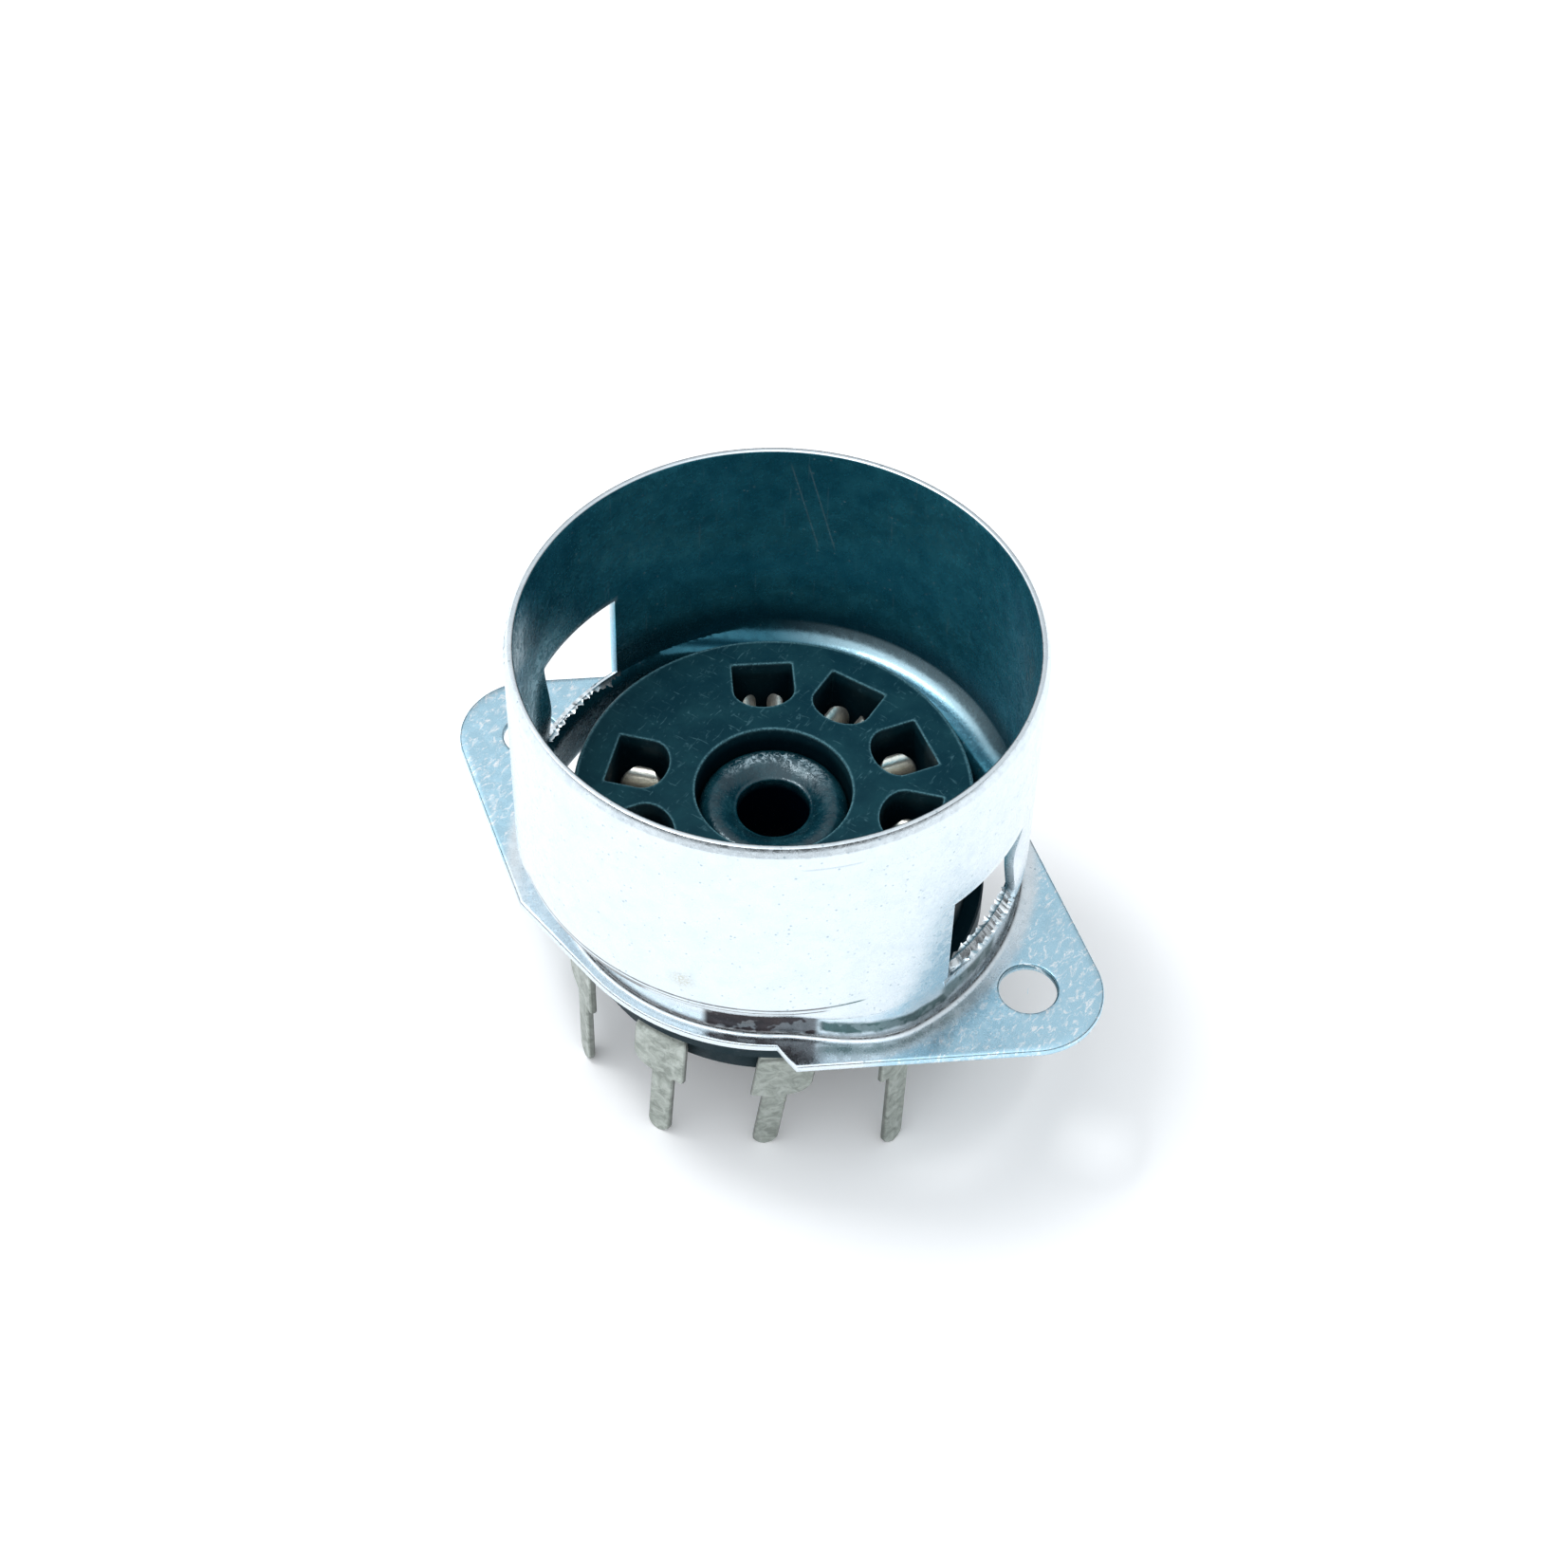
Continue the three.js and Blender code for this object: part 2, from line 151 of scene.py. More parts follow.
def spread(start, end, steps):
    """Evenly spaced values from start to end, both included."""
    return [start + (end - start) * step / steps for step in range(steps + 1)]


# ---- making meshes ----------------------------------------------------------------


def new_object(name, mesh):
    piece = bpy.data.objects.new(name, mesh)
    bpy.context.scene.collection.objects.link(piece)
    return piece


def new_piece(name, points, faces, marks=None, sharp=35):
    """A piece from points and faces. marks gives named numbers for every point."""
    mesh = bpy.data.meshes.new(name)
    mesh.from_pydata([tuple(point) for point in points], [], faces)
    for mark, values in (marks or {}).items():
        layer = mesh.attributes.new(mark, "FLOAT", "POINT")
        layer.data.foreach_set("value", values)
    piece = new_object(name, mesh)
    face_outwards(piece)
    smooth(piece, sharp)
    return piece


def face_outwards(piece):
    work = bmesh.new()
    work.from_mesh(piece.data)
    bmesh.ops.recalc_face_normals(work, faces=work.faces)
    work.to_mesh(piece.data)
    work.free()


def smooth(piece, sharp):
    piece.data.polygons.foreach_set("use_smooth", [True] * len(piece.data.polygons))
    piece.data.set_sharp_from_angle(angle=math.radians(sharp))


def settle(piece, sharp=35):
    """Puts the result of the piece's modifiers in its mesh."""
    graph = bpy.context.evaluated_depsgraph_get()
    mesh = bpy.data.meshes.new_from_object(piece.evaluated_get(graph))
    piece.modifiers.clear()
    piece.data = mesh
    smooth(piece, sharp)
    return piece


def cut(piece, tool):
    """Cuts the tool out of the piece and removes it."""
    change = piece.modifiers.new("cut", "BOOLEAN")
    change.operation = "DIFFERENCE"
    change.solver = "EXACT"
    change.object = tool
    settle(piece)
    bpy.data.objects.remove(tool)
    return piece


def soften_edges(piece, width, segments=2, angle=50):
    change = piece.modifiers.new("soften", "BEVEL")
    change.width = width
    change.segments = segments
    change.limit_method = "ANGLE"
    change.angle_limit = math.radians(angle)
    change.harden_normals = False
    return settle(piece)


def ring_faces(first, second, count):
    """Quads between two closed rings of points that start at these indices."""
    return [
        (first + k, first + (k + 1) % count, second + (k + 1) % count, second + k)
        for k in range(count)
    ]


def turned(name, outline, segments=160, marks=None):
    """A closed outline of (radius, z) turned about the axis."""
    points = []
    for radius, z in outline:
        points += [polar(radius, 360 * k / segments, z) for k in range(segments)]
    rows = len(outline)
    faces = []
    for row in range(rows):
        faces += ring_faces(row * segments, (row + 1) % rows * segments, segments)
    values = {}
    for mark, row_values in (marks or {}).items():
        values[mark] = [value for value in row_values for _ in range(segments)]
    return new_piece(name, points, faces, values)


def pierced_block(name, walls):
    """A block with holes. walls holds the outer wall and then each hole's wall, and
    each wall is a list of (ring of points, wear) from the top down."""
    points, faces, wear = [], [], []
    caps = [[], []]
    starts = [[], []]
    for wall in walls:
        first = len(points)
        count = len(wall[0][0])
        for ring, amount in wall:
            points += ring
            wear += [amount] * count
        for row in range(len(wall) - 1):
            faces += ring_faces(first + row * count, first + (row + 1) * count, count)
        for side, row in ((0, 0), (1, len(wall) - 1)):
            caps[side].append(wall[row][0])
            starts[side] += range(first + row * count, first + (row + 1) * count)
    for side in (0, 1):
        for triangle in tessellate_polygon(caps[side]):
            faces.append(tuple(starts[side][corner] for corner in triangle))
    return new_piece(name, points, faces, {"wear": wear})


def ribbon(name, stations, thickness, rounding=0.25, sharp=40):
    """A strip of sheet along stations. Each is (centre, across, normal, left, right),
    with left and right the distances of the two edges from the centre line."""
    half = thickness / 2
    corner = half * rounding * 2
    points, faces, edge = [], [], []
    for centre, across, normal, left, right in stations:
        section = [
            (-left, -half + corner), (-left + corner, -half),
            (right - corner, -half), (right, -half + corner),
            (right, half - corner), (right - corner, half),
            (-left + corner, half), (-left, half - corner),
        ]
        points += [centre + across * a + normal * n for a, n in section]
        edge += [1, 0, 0, 1, 1, 0, 0, 1]
    count = 8
    for row in range(len(stations) - 1):
        faces += ring_faces(row * count, (row + 1) * count, count)
    faces.append(tuple(range(count)))
    last = (len(stations) - 1) * count
    faces.append(tuple(range(last, last + count)))
    return new_piece(name, points, faces, {"cut_edge": edge}, sharp)


# ---- shield base ------------------------------------------------------------------


def from_ear(degrees):
    """A direction measured from the nearer ear, from -90 to 90 degrees."""
    return (degrees + 90) % 180 - 90


def outline_radius(degrees):
    """Distance from the axis to the flange's outline in one direction."""
    turn = from_ear(degrees)
    if turn > TRIM_START or turn < -STEP_END:
        return TRIM_RADIUS
    if turn > EAR_CORNER:
        return TRIM_RADIUS / math.cos(math.radians(TRIM_START - turn))
    if turn < -EAR_EDGE_ANGLE:
        share = (turn + STEP_END) / (STEP_END - EAR_EDGE_ANGLE)
        return TRIM_RADIUS + (EAR_EDGE_DISTANCE - TRIM_RADIUS) * share
    edge = math.radians(EAR_EDGE_ANGLE)
    reach = EAR_X + EAR_RADIUS * math.cos(edge)
    side = EAR_RADIUS * math.sin(edge)
    if abs(turn) > math.degrees(math.atan2(side, reach)):
        return EAR_EDGE_DISTANCE / math.cos(math.radians(EAR_EDGE_ANGLE - abs(turn)))
    angle = math.radians(turn)
    inner = EAR_RADIUS ** 2 - (EAR_X * math.sin(angle)) ** 2
    return EAR_X * math.cos(angle) + math.sqrt(inner)


def shield_columns():
    """Directions of the shield base's columns, closer together at the ears."""
    half_turn = spread(WINDOW_START, WINDOW_END, 54)
    half_turn += spread(WINDOW_END, 18, 14)[1:]
    half_turn += spread(18, EAR_CORNER, 24)[1:]
    half_turn += spread(EAR_CORNER, 180 - STEP_END, 60)[1:]
    half_turn += spread(180 - STEP_END, 180 - EAR_EDGE_ANGLE, 4)[1:]
    half_turn += spread(180 - EAR_EDGE_ANGLE, 180 + WINDOW_START, 32)[1:-1]
    return half_turn + [angle + 180 for angle in half_turn]


def neck_bulge(degrees):
    """How far the neck stands out in one direction, near the ears."""
    turn = abs(from_ear(degrees))
    share = min(max((turn - BULGE_FULL) / (BULGE_END - BULGE_FULL), 0), 1)
    return NECK_BULGE * (1 - share * share * (3 - 2 * share))


def bulged(rows, bulge, foot):
    """The neck's rows moved outwards. Above its foot it never passes the skirt."""
    moved = []
    for outer, inner in rows:
        pair = []
        for (radius, z), limit in ((outer, SKIRT_RADIUS), (inner, SKIRT_RADIUS - SHEET)):
            wide = radius + bulge
            pair.append((wide if foot else min(wide, limit), z))
        moved.append(tuple(pair))
    return moved


def cup_rows(bulge):
    """Pairs of (outer point, inner point) down the sheet, from the rim to the flange."""
    inner_radius = SKIRT_RADIUS - SHEET
    burr = 0.1 * MM
    slope_drop = 0.42 * MM
    slope_width = 0.2 * MM
    rim_outside = [
        (SKIRT_RADIUS - slope_width - 0.04 * MM, RIM_Z),
        (SKIRT_RADIUS - slope_width, RIM_Z - 0.01 * MM),
        (SKIRT_RADIUS - slope_width + 0.02 * MM, RIM_Z - 0.04 * MM),
        (SKIRT_RADIUS - slope_width / 2, RIM_Z - slope_drop * 0.48),
        (SKIRT_RADIUS - 0.02 * MM, RIM_Z - slope_drop),
        (SKIRT_RADIUS - 0.005 * MM, RIM_Z - slope_drop - 0.03 * MM),
        (SKIRT_RADIUS, RIM_Z - slope_drop - 0.08 * MM),
    ]
    rim = zip(rim_outside, arc(inner_radius + burr, RIM_Z - burr, burr, 90, 180, 6))
    bend_z = LEDGE_Z - SHEET + SKIRT_BEND
    wall_heights = spread(RIM_Z - slope_drop - 0.4 * MM, WINDOW_TOP_Z, 20)
    wall_heights += spread(WINDOW_TOP_Z, bend_z, 12)[1:-1]
    wall = [((SKIRT_RADIUS, z), (inner_radius, z)) for z in wall_heights]
    bend_r = SKIRT_RADIUS - SKIRT_BEND
    skirt_bend = zip(
        arc(bend_r, bend_z, SKIRT_BEND, 0, -90, 14),
        arc(bend_r, bend_z, SKIRT_BEND - SHEET, 0, -90, 14),
    )
    neck_z = LEDGE_Z - SHEET - NECK_BEND
    neck_bend = list(zip(
        arc(bend_r, neck_z, NECK_BEND, 90, 180, 5),
        arc(bend_r, neck_z, NECK_BEND + SHEET, 90, 180, 5),
    ))[1:]
    foot_r = NECK_RADIUS + FLANGE_BEND
    foot_z = FLANGE_TOP_Z + FLANGE_BEND
    neck = [
        ((NECK_RADIUS, z), (NECK_RADIUS - SHEET, z)) for z in spread(neck_z, foot_z, 8)[1:-1]
    ]
    foot_bend = zip(
        arc(foot_r, foot_z, FLANGE_BEND, 180, 270, 6),
        arc(foot_r, foot_z, FLANGE_BEND + SHEET, 180, 270, 6),
    )
    upper = bulged([*skirt_bend, *neck_bend], bulge, False)
    lower = bulged([*neck, *foot_bend], bulge, True)
    return [*rim, *wall, *upper, *lower]


def flange_rows(start, reach):
    """Pairs of points across the flange, from its bend to its rounded outer edge."""
    edge = 0.12 * MM
    flat = [
        ((start + (reach - edge - start) * share,) * 2) for share in spread(0, 1, 12)[1:]
    ]
    rows = [((outer, FLANGE_TOP_Z), (inner, FLANGE_BOTTOM_Z)) for outer, inner in flat]
    rows += zip(
        arc(reach - edge, FLANGE_TOP_Z - edge, edge, 60, 0, 2),
        arc(reach - edge, FLANGE_BOTTOM_Z + edge, edge, -60, 0, 2),
    )
    return rows


def dent(radius, degrees, z):
    """How far the press pushed the wall in, just past the far side of each window."""
    turn = from_ear(degrees)
    if turn < WINDOW_END - 0.01 or radius < SKIRT_RADIUS - 2 * MM:
        return 0
    sideways = math.exp(-(((turn - WINDOW_END) / 4) ** 2))
    middle = FLANGE_TOP_Z + 5.6 * MM
    upright = math.exp(-(((z - middle) / (1.8 * MM)) ** 2))
    return 0.28 * MM * sideways * upright


def sheet_points(columns):
    """Points column by column, outer skin first, which of them are inside, and the
    number of rows in a column."""
    bright_rim_rows = 3
    points, inside = [], []
    length = 0
    for degrees in columns:
        cup = cup_rows(neck_bulge(degrees))
        rows = cup + flange_rows(cup[-1][0][0], outline_radius(degrees))
        length = len(rows)
        for skin in (0, 1):
            for row, pair in enumerate(rows):
                radius, z = pair[skin]
                radius -= dent(radius, degrees, z)
                points.append(polar(radius, degrees, z))
                # Inner-skin points below the rim get the inside colour, which is painted dark as shade and
                # dark reflection.
                dull = skin and z > FLANGE_TOP_Z and row > bright_rim_rows
                inside.append(1.0 if dull else 0.0)
    return points, inside, length


class SheetGrid:
    """Numbers of the sheet's points, and its faces round the two open windows."""

    def __init__(self, columns, length):
        self.columns = columns
        self.length = length
        cup = cup_rows(0)
        heights = [outer[1] for outer, inner in cup]
        self.top_row = self.nearest(heights, WINDOW_TOP_Z)
        self.low_row = self.nearest(heights, WINDOW_BOTTOM_Z)

    def nearest(self, heights, z):
        return min(range(len(heights)), key=lambda row: abs(heights[row] - z))

    def point(self, column, skin, row):
        return (column % len(self.columns)) * 2 * self.length + skin * self.length + row

    def open(self, column):
        """Whether the sheet between this column and the next has a window."""
        just_past = 0.01
        turn = from_ear(self.columns[column % len(self.columns)] + just_past)
        return WINDOW_START < turn < WINDOW_END

    def at_window(self, column):
        return self.open(column) or self.open(column - 1)

    def along(self, column, skin, row):
        """One face of a skin, between two columns and two rows."""
        return (
            self.point(column, skin, row), self.point(column + 1, skin, row),
            self.point(column + 1, skin, row + 1), self.point(column, skin, row + 1),
        )

    def across(self, column, row):
        """The sheet's thickness along a row."""
        return (
            self.point(column, 0, row), self.point(column + 1, 0, row),
            self.point(column + 1, 1, row), self.point(column, 1, row),
        )

    def upright(self, column, row):
        """The sheet's thickness down a column."""
        return (
            self.point(column, 0, row), self.point(column, 0, row + 1),
            self.point(column, 1, row + 1), self.point(column, 1, row),
        )

    def faces(self):
        faces = []
        window_rows = range(self.top_row, self.low_row)
        for column in range(len(self.columns)):
            for row in range(self.length - 1):
                if self.open(column) and row in window_rows:
                    continue
                faces += [self.along(column, skin, row) for skin in (0, 1)]
            faces += [self.across(column, row) for row in (0, self.length - 1)]
            if self.open(column):
                faces += [self.across(column, row) for row in (self.top_row, self.low_row)]
            if self.open(column) != self.open(column - 1):
                faces += [self.upright(column, row) for row in window_rows]
        return faces


def torn_windows(grid, points):
    """Tears the lower edge of both windows, and marks how bright each edge point is."""
    rng = random.Random(7)
    edge = [0.0] * len(points)
    for column, degrees in enumerate(grid.columns):
        if not grid.at_window(column):
            continue
        for skin in (0, 1):
            torn = points[grid.point(column, skin, grid.low_row)]
            sag = LIP_SAG * max(0, (LIP_SAG_START - from_ear(degrees)) / LIP_SAG_SPAN) ** 1.5
            torn.z += rng.uniform(-0.1, 0.06) * MM - sag
            torn.xy *= 1 - rng.uniform(0.1, 0.3) * MM / SKIRT_RADIUS
            edge[grid.point(column, skin, grid.low_row)] = 1.0
            edge[grid.point(column, skin, grid.top_row)] = 0.6
    return edge


def shield_base():
    """The drawn cup and flange as one sheet, with two windows and two ear holes."""
    columns = shield_columns()
    points, inside, length = sheet_points(columns)
    grid = SheetGrid(columns, length)
    edge = torn_windows(grid, points)
    faces = grid.faces()
    used = sorted({corner for face in faces for corner in face})
    renumber = {old: new for new, old in enumerate(used)}
    faces = [tuple(renumber[corner] for corner in face) for face in faces]
    piece = new_piece(
        "shield_base_sheet", [points[old] for old in used], faces,
        {"inside": [inside[old] for old in used], "cut_edge": [edge[old] for old in used]},
    )
    for side in (1, -1):
        cut(piece, ear_drill(side * EAR_X))
    soften_edges(piece, 0.03 * MM)
    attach(piece, ROOT)
    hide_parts("shield_base")
    return piece


def ear_drill(x):
    """Tool for one ear hole, with a small rolled edge at the top and bottom."""
    roll = 0.1 * MM
    beyond = 0.5 * MM
    wide = EAR_HOLE_RADIUS + roll
    outline = [
        (0.01 * MM, FLANGE_BOTTOM_Z - beyond), (wide + beyond, FLANGE_BOTTOM_Z - beyond),
        *arc(wide, FLANGE_BOTTOM_Z + roll, roll, 270, 180, 3),
        *arc(wide, FLANGE_TOP_Z - roll, roll, 180, 90, 3),
        (wide + beyond, FLANGE_TOP_Z + beyond), (0.01 * MM, FLANGE_TOP_Z + beyond),
    ]
    tool = turned("ear_drill", outline, 64)
    tool.data.transform(Matrix.Translation((x, 0, 0)))
    return tool


# ---- moulded body, base plate and rivet ---------------------------------------------


def circle_ring(radius, z, count):
    return [polar(radius, 360 * k / count, z) for k in range(count)]


def chamber_ring(angle, grow, z):
    """Outline of one D-shaped chamber, grown outwards by a small amount."""
    half = CHAMBER_HALF + grow
    outer = CHAMBER_OUTER + grow
    corner = 0.12 * MM
    middle = CHAMBER_INNER + CHAMBER_ROUNDING
    flat = arc(outer - corner, -half + corner, corner, -90, 0, 3)
    flat += arc(outer - corner, half - corner, corner, 0, 90, 3)
    sides = [(x, half) for x in spread(outer - corner, middle, 4)[1:-1]]
    for step in range(15):
        turn = math.radians(90 + 180 * step / 14)
        sides.append((
            middle + (CHAMBER_ROUNDING + grow) * math.cos(turn), half * math.sin(turn),
        ))
    sides += [(x, -half) for x in spread(middle, outer - corner, 4)[1:-1]]
    turn = Matrix.Rotation(math.radians(angle), 3, "Z")
    return [turn @ Vector((x, y, z)) for x, y in flat + sides]


def worn_edge(rounding):
    """(distance from the edge, drop below the face, wear) down over a rounded edge."""
    rows = [(rounding + 0.08 * MM, 0, 0), (rounding + 0.02 * MM, 0, 0.4)]
    for step in range(4):
        angle = math.radians(90 * step / 3)
        rows.append((rounding * (1 - math.sin(angle)), rounding * (1 - math.cos(angle)), 1))
    rows.append((0, rounding + 0.05 * MM, 0.3))
    rows.append((0, rounding + 0.15 * MM, 0))
    return rows


def socket_body():
    """The dark moulding: rounded face edge, shoulder under the flange, nine chambers."""
    smooth_count = 192
    outer = [
        (circle_ring(BODY_RADIUS - away, FACE_Z - drop, smooth_count), wear)
        for away, drop, wear in worn_edge(0.16 * MM)
    ]
    for radius, z in (
        (BODY_RADIUS, SHOULDER_TOP_Z), (SHOULDER_RADIUS - 0.1 * MM, SHOULDER_TOP_Z),
        (SHOULDER_RADIUS, SHOULDER_TOP_Z - 0.1 * MM), (SHOULDER_RADIUS, BODY_BOTTOM_Z + 0.12 * MM),
        (SHOULDER_RADIUS - 0.12 * MM, BODY_BOTTOM_Z),
    ):
        outer.append((circle_ring(radius, z, smooth_count), 0))
    recess = [
        (circle_ring(RECESS_RADIUS + away, FACE_Z - drop, 128), wear)
        for away, drop, wear in worn_edge(0.07 * MM)
    ]
    for radius, z in (
        (RECESS_RADIUS, RECESS_FLOOR_Z), (BORE_RADIUS, RECESS_FLOOR_Z), (BORE_RADIUS, BODY_BOTTOM_Z),
    ):
        recess.append((circle_ring(radius, z, 128), 0))
    walls = [outer, recess]
    for angle in CONTACT_ANGLES:
        chamber = [
            (chamber_ring(angle, away, FACE_Z - drop), wear)
            for away, drop, wear in worn_edge(0.05 * MM)
        ]
        chamber.append((chamber_ring(angle, 0, BODY_BOTTOM_Z), 0))
        walls.append(chamber)
    piece = pierced_block("body_moulding", walls)
    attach(piece, ROOT)
    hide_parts("socket_body")
    return piece


def base_plate():
    """The lower moulding, with a groove for each contact's foot."""
    soft = 0.15 * MM
    seat = 0.25 * MM
    seat_radius = RIVET_FLARE_RADIUS + 0.35 * MM
    outline = [
        (BORE_RADIUS, plate_high.z), *arc(PLATE_RADIUS - soft, plate_high.z - soft, soft, 90, 0, 3),
        *arc(PLATE_RADIUS - soft, plate_low.z + soft, soft, 0, -90, 3),
        (seat_radius + soft, plate_low.z), (seat_radius, plate_low.z + seat),
        (BORE_RADIUS, plate_low.z + seat),
    ]
    piece = turned("plate_moulding", outline, 144)
    floor_z = contact_foot_z() - STRIP / 2 - 0.03 * MM
    for angle in CONTACT_ANGLES:
        inner, outer = CHAMBER_INNER - 0.1 * MM, PLATE_RADIUS + 1 * MM
        corners = [
            Vector((x, y, z)) for z in (floor_z, plate_high.z + 1 * MM)
            for x, y in ((inner, -GROOVE_HALF), (outer, -GROOVE_HALF),
                         (outer, GROOVE_HALF), (inner, GROOVE_HALF))
        ]
        turn = Matrix.Rotation(math.radians(angle), 3, "Z")
        faces = [(0, 1, 2, 3), (4, 5, 6, 7), *ring_faces(0, 4, 4)]
        cut(piece, new_piece("groove", [turn @ corner for corner in corners], faces))
    soften_edges(piece, 0.05 * MM)
    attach(piece, ROOT)
    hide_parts("base_plate")
    return piece


def centre_rivet():
    """Domed head, tube, and a rolled flare under the base plate."""
    top = rivet_high.z
    crest = 2.85 * MM
    drop = 0.75 * MM
    lip = 0.12 * MM
    sag = 0.4 * MM
    dome = []
    for step in range(13):
        angle = math.radians(90 * step / 12)
        dome.append((
            RIVET_HEAD_RADIUS + (crest - RIVET_HEAD_RADIUS) * (1 - math.cos(angle)),
            top - drop * (1 - math.sin(angle)),
        ))
    for share in spread(0, 1, 14)[1:-1]:
        dome.append((crest + (RIVET_BORE + lip - crest) * share, top - sag * share * share))
    throat = arc(RIVET_BORE + lip, top - sag - lip, lip, 90, 180, 5)
    flare_z = plate_low.z + 0.2 * MM
    low = rivet_low.z
    roll = 0.15 * MM
    flare = [
        (RIVET_BORE, low + 0.35 * MM),
        *arc(RIVET_BORE + 0.35 * MM, low + 0.35 * MM, 0.35 * MM, 180, 270, 5),
        *arc(RIVET_FLARE_RADIUS - roll, low + roll, roll, -90, 90, 6),
        (RIVET_TUBE, flare_z), (RIVET_TUBE, RECESS_FLOOR_Z + 0.05 * MM),
        (RIVET_HEAD_RADIUS, RECESS_FLOOR_Z + 0.05 * MM),
    ]
    piece = turned("rivet_turning", dome + throat + flare, 128)
    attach(piece, ROOT)
    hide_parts("centre_rivet")
    return piece


# ---- contacts -----------------------------------------------------------------------


def contact_foot_z():
    """Height of the middle of the contacts' feet."""
    return plate_high.z - STRIP / 2


def contact_directions(angle):
    """Outward, sideways and up at one contact."""
    return polar(1, angle, 0), polar(1, angle + 90, 0), Vector((0, 0, 1))


def tail_widths(hand):
    """(height, left edge, right edge) down the flat blade and its leg."""
    blade = 1.4 * MM
    leg = 0.6 * MM
    offset = 0.25 * MM
    shoulder_z = FLANGE_TOP_Z - 5.9 * MM
    curve = blade + offset - leg
    rows = [(contact_foot_z() - 0.9 * MM, blade, blade)]
    for step in range(9):
        angle = math.radians(90 * step / 8)
        rows.append((
            shoulder_z + curve * (1 - math.sin(angle)), blade,
            blade - curve * (1 - math.cos(angle)),
        ))
    rows += [(shoulder_z - 0.02 * MM, leg + offset, leg - offset)]
    rows += [(z, leg + offset, leg - offset) for z in spread(shoulder_z - 0.5 * MM, leg, 6)]
    for step in range(1, 9):
        angle = math.radians(86 * step / 8)
        width = leg * math.cos(angle)
        rows.append((leg * (1 - math.sin(angle)), width + offset, width - offset))
    if hand > 0:
        return rows
    return [(z, right, left) for z, left, right in rows]


def fixed_contact(number, angle, hand, rng):
    """Foot, bend, blade and leg as one folded strip."""
    outward, sideways, up = contact_directions(angle)
    foot_z = contact_foot_z()
    bend = 0.42 * MM
    half_foot = 1.25 * MM
    blade = 1.4 * MM
    stations = []
    for radius in spread(FOOT_INNER_RADIUS, TAIL_RADIUS - bend, 6):
        stations.append((outward * radius + up * foot_z, sideways, up, half_foot, half_foot))
    for step in range(1, 9):
        turn = math.radians(90 * step / 8)
        place = outward * (TAIL_RADIUS - bend + bend * math.sin(turn))
        place += up * (foot_z - bend + bend * math.cos(turn))
        normal = outward * math.sin(turn) + up * math.cos(turn)
        wide = half_foot + (blade - half_foot) * step / 8
        stations.append((place, sideways, normal, wide, wide))
    lean = rng.uniform(-0.02, 0.02)
    sway = rng.uniform(-0.02, 0.02)
    if number in BENT_TAILS:
        lean, sway = BENT_TAILS[number]
    straight_z = foot_z - bend
    for z, left, right in tail_widths(hand):
        drop = straight_z - z
        place = outward * (TAIL_RADIUS + lean * drop) + sideways * (sway * drop) + up * z
        stations.append((place, sideways, outward, left, right))
    piece = ribbon(f"contact_strip_{number}", stations, STRIP)
    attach(piece, ROOT)
    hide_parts(f"contact_{number}")
    return piece


def jaw_line():
    """(sideways, height, half width) along a jaw from its root to its curled lip."""
    knots = [
        (0.85, -2.75, 0.8), (0.85, -1.7, 0.8), (0.82, -0.9, 0.8), (0.62, 1.1, 0.92),
        (0.45, 2.2, 1.06), (0.42, 2.65, 1.08), (0.46, 3.05, 1.02), (0.58, 3.38, 0.86),
        (0.75, 3.53, 0.62), (0.9, 3.5, 0.32),
    ]
    line = smooth_line(knots, 4)
    return [(side * MM, FLANGE_TOP_Z + z * MM, wide * MM) for side, z, wide in line]


def smooth_line(knots, steps):
    """Points along a smooth curve through the knots."""
    padded = [knots[0], *knots, knots[-1]]
    line = []
    for k in range(len(knots) - 1):
        before, here, there, after = (Vector(knot) for knot in padded[k:k + 4])
        for step in range(steps):
            t = step / steps
            line.append(0.5 * (
                2 * here + (there - before) * t
                + (2 * before - 5 * here + 4 * there - after) * t * t
                + (3 * here - before - 3 * there + after) * t ** 3
            ))
    return [tuple(point) for point in line] + [knots[-1]]


def contact_jaw(number, angle, side, word):
    """One spring jaw, a strip from its root to its curled lip."""
    outward, sideways, up = contact_directions(angle)
    line = jaw_line()
    stations = []
    for k, (across, z, wide) in enumerate(line):
        low = line[max(k - 1, 0)]
        high = line[min(k + 1, len(line) - 1)]
        along = Vector((high[0] - low[0], high[1] - low[1])).normalized()
        normal = (sideways * along.y * side - up * along.x)
        place = outward * JAW_MIDDLE_RADIUS + sideways * (across * side) + up * z
        stations.append((place, outward, normal, wide, wide))
    piece = ribbon(f"jaw_strip_{number}_{word}", stations, JAW_STRIP)
    body = f"contact_{number}_{word}_jaw"
    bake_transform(piece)
    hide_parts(body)
    return piece


def contacts():
    rng = random.Random(19)
    pieces = []
    for index, angle in enumerate(CONTACT_ANGLES):
        number = index + 1
        hand = -1 if index < MIRRORED_CONTACTS else 1
        pieces.append(fixed_contact(number, angle, hand, rng))
        pieces.append(contact_jaw(number, angle, -1, "left"))
        pieces.append(contact_jaw(number, angle, 1, "right"))
    return pieces


# ---- materials ------------------------------------------------------------------------


